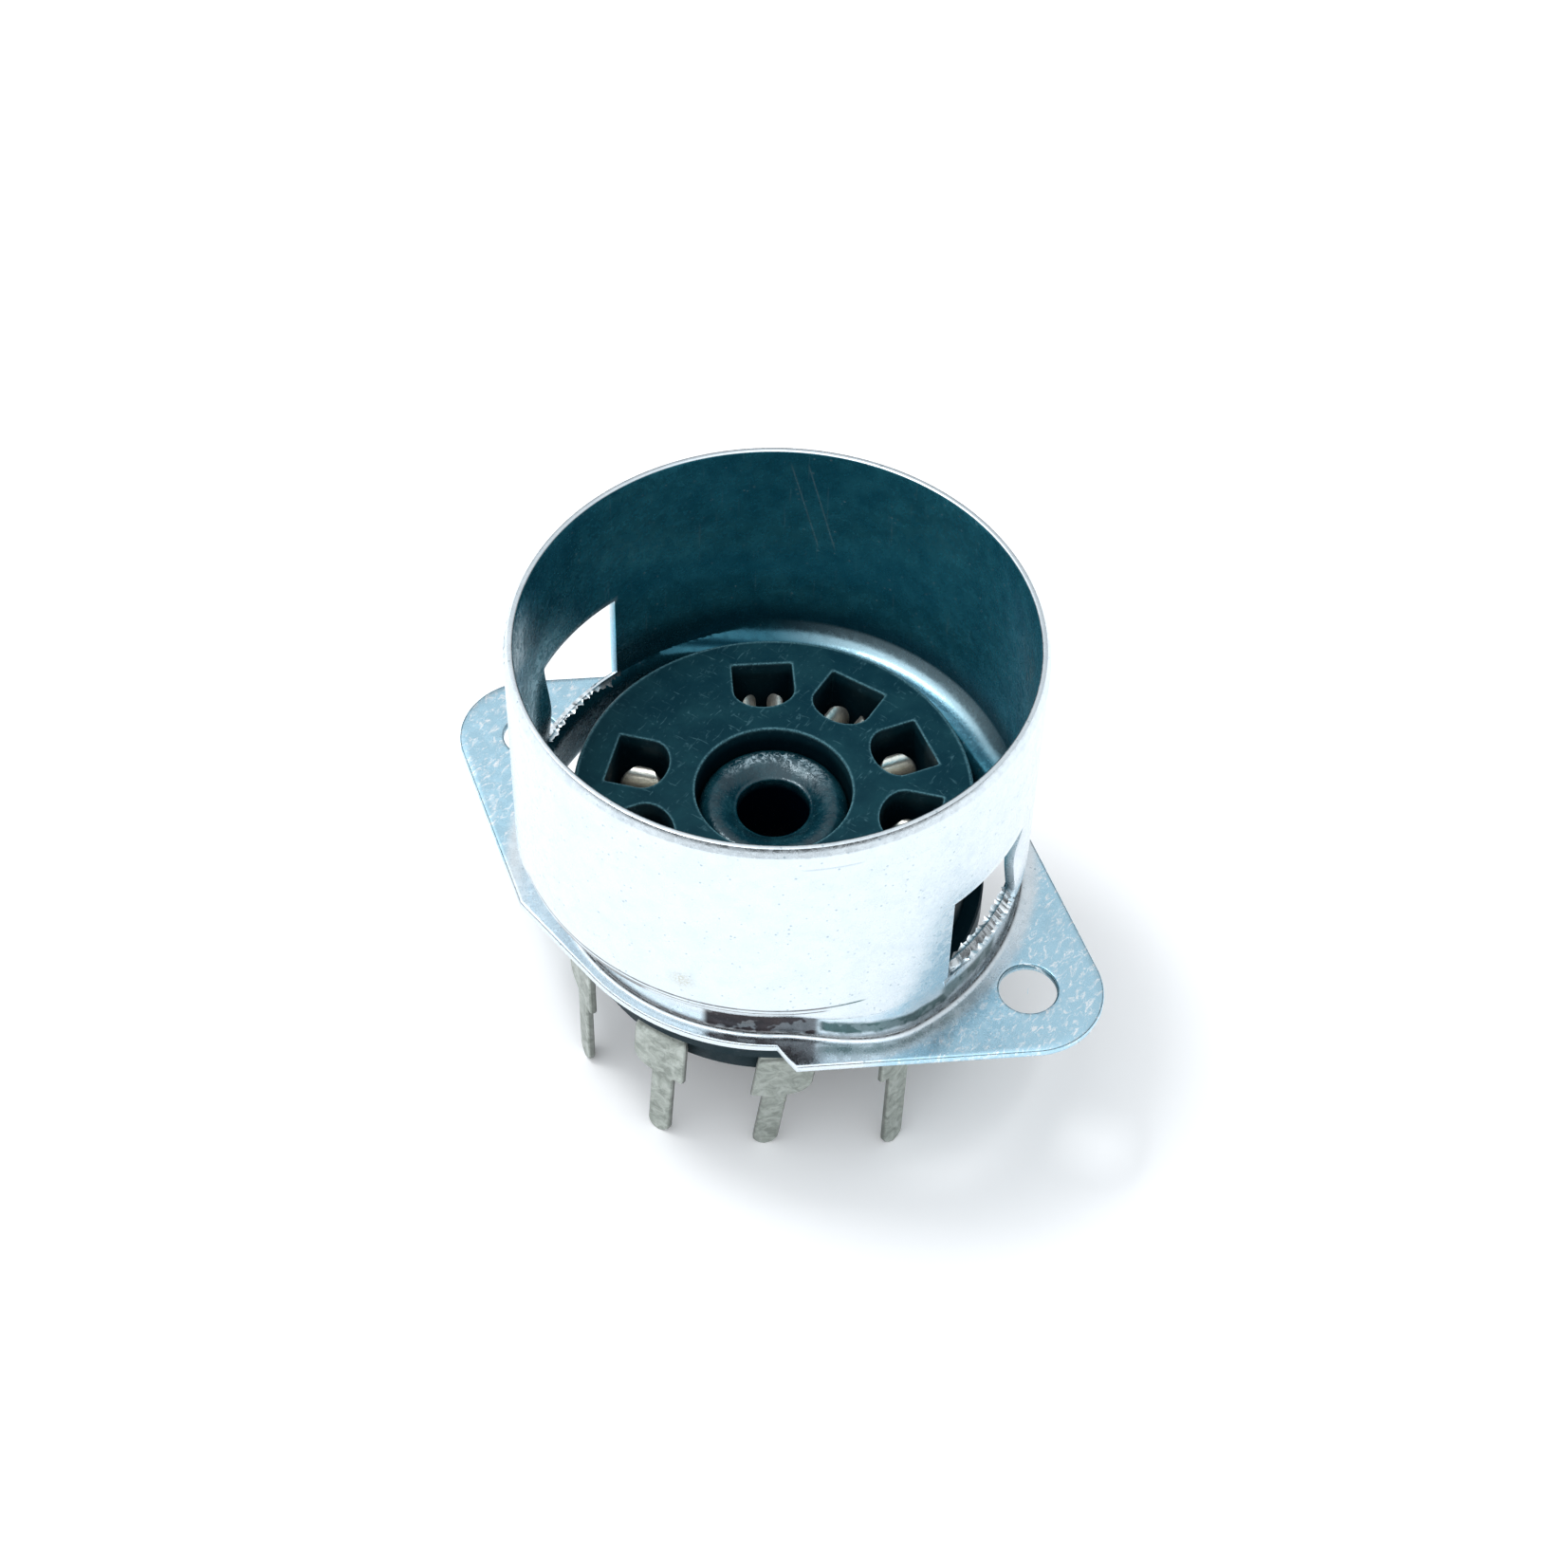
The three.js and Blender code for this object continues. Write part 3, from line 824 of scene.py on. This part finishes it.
class Nodes:
    """Shader nodes of one tree. place is the coordinate that its textures use."""

    def __init__(self, tree):
        self.nodes = tree.nodes
        self.links = tree.links
        self.place = None

    def put(self, socket, value):
        if isinstance(value, bpy.types.NodeSocket):
            self.links.new(value, socket)
        elif isinstance(value, tuple) and len(value) == 3:
            socket.default_value = (*value, 1) if socket.type == "RGBA" else value
        else:
            socket.default_value = value

    def stretched(self, x, y, z):
        node = self.nodes.new("ShaderNodeVectorMath")
        node.operation = "MULTIPLY"
        self.links.new(self.place, node.inputs[0])
        node.inputs[1].default_value = (x, y, z)
        return node.outputs[0]

    def noise(self, scale, detail=4, rough=0.55, place=None, distort=0.0):
        node = self.nodes.new("ShaderNodeTexNoise")
        self.links.new(place or self.place, node.inputs["Vector"])
        node.inputs["Scale"].default_value = scale
        node.inputs["Detail"].default_value = detail
        node.inputs["Roughness"].default_value = rough
        node.inputs["Distortion"].default_value = distort
        return node.outputs["Fac"]

    def cells(self, scale):
        node = self.nodes.new("ShaderNodeTexVoronoi")
        self.links.new(self.place, node.inputs["Vector"])
        node.inputs["Scale"].default_value = scale
        return node.outputs["Distance"]

    def mark(self, name):
        node = self.nodes.new("ShaderNodeAttribute")
        node.attribute_name = name
        return node.outputs["Fac"]

    def range(self, value, low, high, to_low=0.0, to_high=1.0):
        node = self.nodes.new("ShaderNodeMapRange")
        node.interpolation_type = "SMOOTHSTEP"
        self.put(node.inputs["Value"], value)
        node.inputs["From Min"].default_value = low
        node.inputs["From Max"].default_value = high
        node.inputs["To Min"].default_value = to_low
        node.inputs["To Max"].default_value = to_high
        return node.outputs["Result"]

    def math(self, operation, first, second=0.0, third=0.5):
        node = self.nodes.new("ShaderNodeMath")
        node.operation = operation
        self.put(node.inputs[0], first)
        self.put(node.inputs[1], second)
        self.put(node.inputs[2], third)
        return node.outputs[0]

    def mix(self, share, first, second):
        node = self.nodes.new("ShaderNodeMix")
        node.data_type = "RGBA"
        self.put(node.inputs["Factor"], share)
        self.put(node.inputs["A"], first)
        self.put(node.inputs["B"], second)
        return node.outputs["Result"]

    def axes(self):
        """x, y and z of the coordinate, and its direction round the axis in degrees."""
        node = self.nodes.new("ShaderNodeSeparateXYZ")
        self.links.new(self.place, node.inputs[0])
        turn = self.math("ARCTAN2", node.outputs["Y"], node.outputs["X"])
        return (*node.outputs, self.math("MULTIPLY", turn, 180 / math.pi))

    def from_axis(self):
        """Distance from the axis."""
        x, y = self.axes()[:2]
        squares = self.math("ADD", self.math("MULTIPLY", x, x), self.math("MULTIPLY", y, y))
        return self.math("SQRT", squares)

    def band(self, value, low, high, blur):
        """1 between two values, with soft ends."""
        rise = self.range(value, low - blur, low + blur)
        fall = self.range(value, high + blur, high - blur)
        return self.math("MULTIPLY", rise, fall)

    def patch(self, turn, height, angles, heights, blur=0.08):
        """1 in a stretch of angles (degrees) and of heights above the flange (mm)."""
        base = FLANGE_TOP_Z / MM
        across = self.band(turn, angles[0], angles[1], 1.2)
        along = self.band(height, base + heights[0], base + heights[1], blur)
        return self.math("MULTIPLY", across, along)

    def near(self, point, radius):
        """1 at a point of object space, falling to 0 at the radius in millimetres."""
        node = self.nodes.new("ShaderNodeVectorMath")
        node.operation = "DISTANCE"
        self.links.new(self.place, node.inputs[0])
        node.inputs[1].default_value = tuple(value / MM for value in point)
        return self.range(node.outputs["Value"], radius, 0)

    def facing(self, direction, low, high, to_low, to_high):
        """How near the coordinate's direction is to this one, between two cosines."""
        node = self.nodes.new("ShaderNodeVectorMath")
        node.operation = "DOT_PRODUCT"
        self.links.new(self.place, node.inputs[0])
        node.inputs[1].default_value = tuple(Vector(direction).normalized())
        return self.range(node.outputs["Value"], low, high, to_low, to_high)

    def bump(self, height, distance, strength=1.0, under=None):
        node = self.nodes.new("ShaderNodeBump")
        node.inputs["Strength"].default_value = strength
        node.inputs["Distance"].default_value = distance
        self.put(node.inputs["Height"], height)
        if under is not None:
            self.links.new(under, node.inputs["Normal"])
        return node.outputs["Normal"]


class Look(Nodes):
    """A procedural material, in millimetres of object space."""

    def __init__(self, name):
        self.material = bpy.data.materials.new(name)
        self.material.use_nodes = True
        super().__init__(self.material.node_tree)
        self.shader = self.nodes["Principled BSDF"]
        place = self.nodes.new("ShaderNodeTexCoord")
        scale = self.nodes.new("ShaderNodeVectorMath")
        scale.operation = "SCALE"
        scale.inputs["Scale"].default_value = 1 / MM
        self.links.new(place.outputs["Object"], scale.inputs[0])
        self.place = scale.outputs[0]

    def set(self, **values):
        """Shader inputs by name, with spaces as underscores."""
        for name, value in values.items():
            self.put(self.shader.inputs[name.replace("_", " ")], value)


def reflected_gloom(look, turn, height):
    """Where the plate is painted dark, as if it mirrored a dark room round the neck."""
    wobble = look.math("MULTIPLY", look.math("SUBTRACT", look.noise(1.1, 3), 0.5), 0.5)
    uneven = look.math("ADD", height, wobble)
    broken = look.range(look.noise(1.1, 2), 0.35, 0.5)
    gloom = look.patch(turn, uneven, (-75, -46), (0.2, 3.0), 0.1)
    streaks = [
        look.patch(turn, height, (-126, -38), (4.2, 4.3), 0.04),
        look.patch(turn, height, (-112, -46), (3.98, 4.04), 0.03),
        look.patch(turn, uneven, (-112, -86), (3.3, 4.0), 0.12),
        look.patch(turn, height, (-135, -50), (0.06, 0.3), 0.08),
        look.patch(turn, uneven, (-46, -14), (0.5, 1.3), 0.15),
        look.patch(turn, uneven, (-16, 3), (0.7, 1.7), 0.2),
        look.patch(turn, uneven, (-6, 9), (2.0, 2.5), 0.12),
    ]
    for streak in streaks:
        gloom = look.math("MAXIMUM", gloom, look.math("MULTIPLY", streak, 0.92))
    gloom = look.math("MULTIPLY", gloom, look.math("MAXIMUM", broken, 0.85))
    base = FLANGE_TOP_Z / MM
    return look.math("MULTIPLY", gloom, look.range(height, base + 0.05, base + 0.25))


def outer_plate(look, turn, height, mottling, fine):
    """Colour of the outside: near white, specked, with frosted pale blue ears and painted dark reflections
    round the neck.
    """
    specks = look.range(look.cells(3.2), 0.26, 0.1)
    specks = look.math("MULTIPLY", specks, look.range(look.noise(1.7, 3), 0.5, 0.62))
    colour = look.mix(look.range(mottling, 0.35, 0.7), (0.76, 0.83, 0.87), (0.71, 0.79, 0.84))
    colour = look.mix(look.math("MULTIPLY", specks, 0.6), colour, (0.25, 0.36, 0.42))
    stain = look.near(polar(SKIRT_RADIUS, 283, FLANGE_TOP_Z + 5.6 * MM), 0.9)
    stain = look.math("MULTIPLY", stain, look.range(fine, 0.35, 0.6))
    colour = look.mix(look.math("MULTIPLY", stain, 0.7), colour, (0.5, 0.48, 0.36))
    scratch = look.patch(turn, height, (-52, -40), (14.2, 14.3), 0.04)
    colour = look.mix(look.math("MULTIPLY", scratch, 0.4), colour, (0.35, 0.45, 0.5))
    burr = look.patch(turn, height, (-158, -140), (13.6, 15.2), 0.3)
    burr = look.math("MULTIPLY", burr, look.range(look.noise(3.2, 3), 0.47, 0.55))
    colour = look.mix(burr, colour, (0.05, 0.14, 0.19))
    # Colours of the painted dark reflections round the neck.
    brown = look.mix(look.noise(0.8, 2), (0.0, 0.008, 0.015), (0.1, 0.075, 0.075))
    green = look.mix(look.noise(0.9, 2), (0.0, 0.02, 0.025), (0.05, 0.15, 0.14))
    gloom_colour = look.mix(look.range(turn, -47, -44), brown, green)
    colour = look.mix(reflected_gloom(look, turn, height), colour, gloom_colour)
    flecks = look.noise(2.6, 8, 0.75, look.stretched(1.5, 0.7, 1), 0.8)
    frosted = look.mix(look.range(flecks, 0.5, 0.64), (0.46, 0.7, 0.83), (0.92, 0.97, 1.0))
    on_flange = look.range(height, FLANGE_TOP_Z / MM + 0.06, FLANGE_TOP_Z / MM + 0.02)
    on_ear = look.math("MULTIPLY", on_flange, look.range(look.from_axis(), 12.3, 12.9))
    return look.mix(on_ear, colour, frosted)


def inner_plate(look, turn, height, mottling):
    """Colour of the inside: painted dark as shade and dark reflection, scratched and specked, with a painted
    highlight on part of its bend.
    """
    base = FLANGE_TOP_Z / MM
    fibres = look.range(look.noise(7, 2, 0.5, look.stretched(1, 1, 0.05)), 0.66, 0.74)
    specks = look.range(look.cells(2.1), 0.17, 0.07)
    specks = look.math("MULTIPLY", specks, look.range(look.noise(0.7, 3), 0.42, 0.6))
    # Painted shade: the inside's base colours are a dark teal, standing in for shade and the moulding's dark
    # reflection.
    colour = look.mix(look.range(mottling, 0.3, 0.75), (0.02, 0.22, 0.31), (0.05, 0.34, 0.44))
    colour = look.mix(look.math("MULTIPLY", fibres, 0.25), colour, (0.35, 0.55, 0.6))
    colour = look.mix(look.math("MULTIPLY", specks, 0.5), colour, (0.55, 0.7, 0.75))
    haze = look.near(polar(SKIRT_RADIUS, 40, FLANGE_TOP_Z + 11.5 * MM), 2.6)
    haze = look.math("MULTIPLY", haze, look.range(look.noise(3, 5, 0.7), 0.45, 0.65))
    colour = look.mix(look.math("MULTIPLY", haze, 0.6), colour, (0.3, 0.28, 0.24))
    lean = 1.3
    for start in (117, 113):
        slanted = look.math("ADD", turn, look.math("MULTIPLY", height, -lean))
        place = start - lean * (base + 13)
        line = look.band(slanted, place, place + 0.3, 0.15)
        line = look.math("MULTIPLY", line, look.band(height, base + 9.5, base + 14.6, 0.3))
        colour = look.mix(look.math("MULTIPLY", line, 0.45), colour, (0.5, 0.66, 0.7))
    # Painted shade: the inside darkens further towards the ledge, from 6.2 mm down to 4.2 mm above the
    # flange.
    low = look.range(height, base + 6.2, base + 4.2)
    colour = look.mix(look.math("MULTIPLY", low, 0.8), colour, (0.004, 0.05, 0.08))
    # Painted highlight: a pale arc on the inside of the skirt's bend, towards the rear.
    painted_arc_highlight = look.math(
        "MULTIPLY", look.band(turn, 55, 108, 18), look.band(height, base + 3.3, base + 4.1, 0.12),
    )
    return look.mix(look.math("MULTIPLY", painted_arc_highlight, 0.75), colour, (0.5, 0.7, 0.78))


def plated_steel():
    """Bright plate outside; duller inside, and painted dark there as shade and dark reflection."""
    look = Look("plated_steel")
    _, _, height, turn = look.axes()
    mottling = look.noise(0.9, 6, 0.6)
    fine = look.noise(9, 5, 0.7)
    outside = outer_plate(look, turn, height, mottling, fine)
    inside = inner_plate(look, turn, height, mottling)
    colour = look.mix(look.mark("inside"), outside, inside)
    colour = look.mix(look.mark("cut_edge"), colour, (0.88, 0.94, 0.97))
    metallic = look.math("SUBTRACT", 1.0, look.math("MULTIPLY", look.mark("inside"), 0.35))
    rough = look.range(look.noise(2.2, 6, 0.7), 0.4, 0.65, 0.2, 0.36)
    grain = look.bump(fine, 0.01 * MM, 0.35)
    normal = look.bump(mottling, 0.03 * MM, 0.4, grain)
    look.set(Base_Color=colour, Metallic=metallic, Roughness=rough, Normal=normal)
    return look.material


def moulded(name, dark, light, worn):
    """Pressed phenolic: satin, cloudy, scuffed, paler on its worn edges, and painted darker below the face as
    shade.
    """
    look = Look(name)
    cloud = look.range(look.noise(0.5, 5, 0.6, distort=0.4), 0.35, 0.7)
    scuffs = look.range(look.noise(5, 3, 0.6, look.stretched(1, 0.25, 1), 1.2), 0.6, 0.72)
    cross = look.range(look.noise(6, 3, 0.6, look.stretched(0.22, 1, 1), 1.0), 0.62, 0.74)
    scuffs = look.math("MAXIMUM", scuffs, cross)
    dust = look.range(look.cells(2.6), 0.07, 0.02)
    fine = look.noise(14, 4, 0.7)
    colour = look.mix(cloud, dark, light)
    colour = look.mix(look.math("MULTIPLY", scuffs, 0.3), colour, worn)
    colour = look.mix(look.math("MULTIPLY", dust, 0.25), colour, worn)
    # Painted shade: darker from 0.3 mm below the face down, in the chambers, the recess, the shoulder and
    # over the whole base plate.
    painted_depth_shade = look.range(look.axes()[2], FACE_Z / MM - 0.3, FACE_Z / MM - 0.9)
    colour = look.mix(look.math("MULTIPLY", painted_depth_shade, 0.8), colour, (0.0, 0.004, 0.008))
    wear = look.math("MULTIPLY", look.mark("wear"), look.range(fine, 0.35, 0.6, 0.1, 0.75))
    colour = look.mix(wear, colour, worn)
    rough = look.range(cloud, 0, 1, 0.42, 0.58)
    grain = look.bump(fine, 0.012 * MM, 0.5)
    normal = look.bump(scuffs, 0.01 * MM, 0.4, grain)
    look.set(
        Base_Color=colour, Roughness=rough, Specular_IOR_Level=0.25,
        Specular_Tint=(0.25, 0.7, 0.85), Normal=normal,
    )
    return look.material


def lacquered():
    """Dark gloss lacquer, uneven and rubbed, with a painted highlight on the rear of its crest and painted
    shade down its bore.
    """
    look = Look("rivet_lacquer")
    cloud = look.range(look.noise(1.1, 5, 0.65, distort=0.5), 0.35, 0.7)
    rubbed = look.range(look.noise(7, 4, 0.7), 0.58, 0.7)
    colour = look.mix(cloud, (0.002, 0.02, 0.03), (0.006, 0.045, 0.06))
    colour = look.mix(look.math("MULTIPLY", rubbed, 0.3), colour, (0.12, 0.24, 0.27))
    turn = look.axes()[3]
    # Painted highlight: a pale frosted band on the rear of the crest, partly real rubbing of the crest and
    # partly painted highlight.
    rear = look.band(turn, 70, 165, 25)
    crest = look.band(look.from_axis(), 2.5, 3.0, 0.15)
    frosted = look.math("MULTIPLY", look.math("MULTIPLY", rear, crest), look.range(
        look.noise(4, 6, 0.7, distort=1.0), 0.45, 0.6,
    ))
    colour = look.mix(look.math("MULTIPLY", frosted, 0.8), colour, (0.45, 0.58, 0.64))
    ripple = look.bump(look.noise(2.4, 4, 0.65), 0.07 * MM, 0.5)
    normal = look.bump(look.noise(11, 3, 0.6), 0.01 * MM, 0.4, ripple)
    rough = look.range(cloud, 0, 1, 0.13, 0.3)
    top = rivet_high.z / MM
    # Painted shade: from half a millimetre below the top down the bore, the rivet is painted near black and
    # its specular is dimmed.
    above_painted_bore_shade = look.range(look.axes()[2], top - 1.1, top - 0.5)
    colour = look.mix(above_painted_bore_shade, (0.0, 0.002, 0.006), colour)
    look.set(
        Base_Color=colour, Roughness=rough, Specular_IOR_Level=look.range(above_painted_bore_shade, 0, 1, 0.03, 0.6),
        Specular_Tint=(0.75, 0.92, 1.0), Normal=normal,
    )
    return look.material


def tin(name, bright, dull, roughness):
    """Hand-dipped tin: cloudy and veined, dark along its cut edges."""
    look = Look(name)
    cloud = look.range(look.noise(1.6, 6, 0.65, distort=0.8), 0.3, 0.7)
    veins = look.range(look.noise(3.5, 3, 0.5, distort=2.0), 0.47, 0.5)
    veins = look.math("MULTIPLY", veins, look.range(look.noise(3.5, 3, 0.5, distort=2.0), 0.53, 0.5))
    colour = look.mix(cloud, dull, bright)
    colour = look.mix(look.math("MULTIPLY", veins, 0.25), colour, (0.2, 0.2, 0.17))
    colour = look.mix(look.math("MULTIPLY", look.mark("cut_edge"), 0.6), colour, (0.14, 0.15, 0.14))
    rough = look.range(cloud, 0, 1, roughness + 0.12, roughness)
    normal = look.bump(look.noise(5, 5, 0.6), 0.04 * MM, 0.5)
    look.set(Base_Color=colour, Metallic=0.9, Roughness=rough, Normal=normal)
    return look.material


def painted_floor():
    """Plain pale floor."""
    look = Look("pale_floor")
    look.set(
        Base_Color=(0.94, 0.95, 0.96), Roughness=0.9, Specular_IOR_Level=0.1,
        Emission_Color=(1, 1, 1), Emission_Strength=0.14,
    )
    return look.material


def coat(piece, material):
    piece.data.materials.clear()
    piece.data.materials.append(material)


# ---- floor, light and camera --------------------------------------------------------


def floor():
    reach = 1.2
    corners = [(-reach, -reach, 0), (reach, -reach, 0), (reach, reach, 0), (-reach, reach, 0)]
    piece = new_piece("floor", corners, [(0, 1, 2, 3)])
    coat(piece, painted_floor())


def softbox(name, place, target, size, power):
    lamp = bpy.data.lights.new(name, "AREA")
    lamp.shape = "SQUARE"
    lamp.size = size
    lamp.energy = power
    holder = bpy.data.objects.new(name, lamp)
    holder.location = place
    holder.rotation_mode = "QUATERNION"
    holder.rotation_quaternion = (Vector(target) - Vector(place)).to_track_quat("-Z", "Y")
    bpy.context.scene.collection.objects.link(holder)


def studio():
    """A bright ceiling, brightest to the front left, over a dark horizon."""
    world = bpy.data.worlds.new("studio")
    world.use_nodes = True
    bpy.context.scene.world = world
    sky = Nodes(world.node_tree)
    sky.place = sky.nodes.new("ShaderNodeTexCoord").outputs["Generated"]
    ceiling = sky.facing((0, 0, 1), 0.3, 0.75, 0.0, 1.0)
    key = sky.facing((-0.3, -0.6, 0.8), 0.3, 0.95, 0.75, 1.8)
    backdrop = sky.nodes["Background"]
    sky.put(backdrop.inputs["Color"], (0.94, 0.97, 1))
    horizon = 0.06
    sky.put(backdrop.inputs["Strength"], sky.math("MULTIPLY_ADD", ceiling, key, horizon))
    softbox("key_light", (-0.13, -0.035, 0.39), (0, 0, 0.013), 0.08, 0.5)
    bpy.context.scene.view_settings.view_transform = "Standard"


def camera():
    """Looks down on the socket from its front right, turned slightly."""
    azimuth, elevation, roll = math.radians(31.54), math.radians(50.64), math.radians(1.42)
    distance = 148.7 * MM
    back = Vector((
        math.sin(azimuth) * math.cos(elevation), -math.cos(azimuth) * math.cos(elevation),
        math.sin(elevation),
    ))
    lens = bpy.data.cameras.new("photo_view")
    lens.sensor_width = 36
    lens.lens = 71.87
    lens.shift_x = 0.0079
    lens.shift_y = 0.0075
    lens.clip_start = 0.01
    lens.clip_end = 10
    eye = bpy.data.objects.new("photo_view", lens)
    bpy.context.scene.collection.objects.link(eye)
    eye.location = Vector((-1.27, 1.89, 12.62)) * MM + back * distance
    eye.rotation_mode = "QUATERNION"
    upright = (-back).to_track_quat("-Z", "Y").to_matrix()
    eye.rotation_quaternion = (upright @ Matrix.Rotation(roll, 3, "Z")).to_quaternion()
    bpy.context.scene.camera = eye


# ---- the scene ------------------------------------------------------------------------


camera()
studio()
floor()
coat(shield_base(), plated_steel())
coat(socket_body(), moulded("body_phenolic", (0.003, 0.024, 0.036), (0.008, 0.042, 0.055), (0.12, 0.26, 0.3)))
coat(base_plate(), moulded("plate_phenolic", (0.004, 0.02, 0.028), (0.008, 0.032, 0.04), (0.08, 0.16, 0.18)))
coat(centre_rivet(), lacquered())
strip_tin = tin("strip_tin", (0.5, 0.54, 0.5), (0.27, 0.3, 0.27), 0.36)
jaw_tin = tin("jaw_tin", (1.0, 0.98, 0.9), (0.8, 0.78, 0.7), 0.28)
for piece in contacts():
    coat(piece, jaw_tin if piece.name.startswith("jaw") else strip_tin)
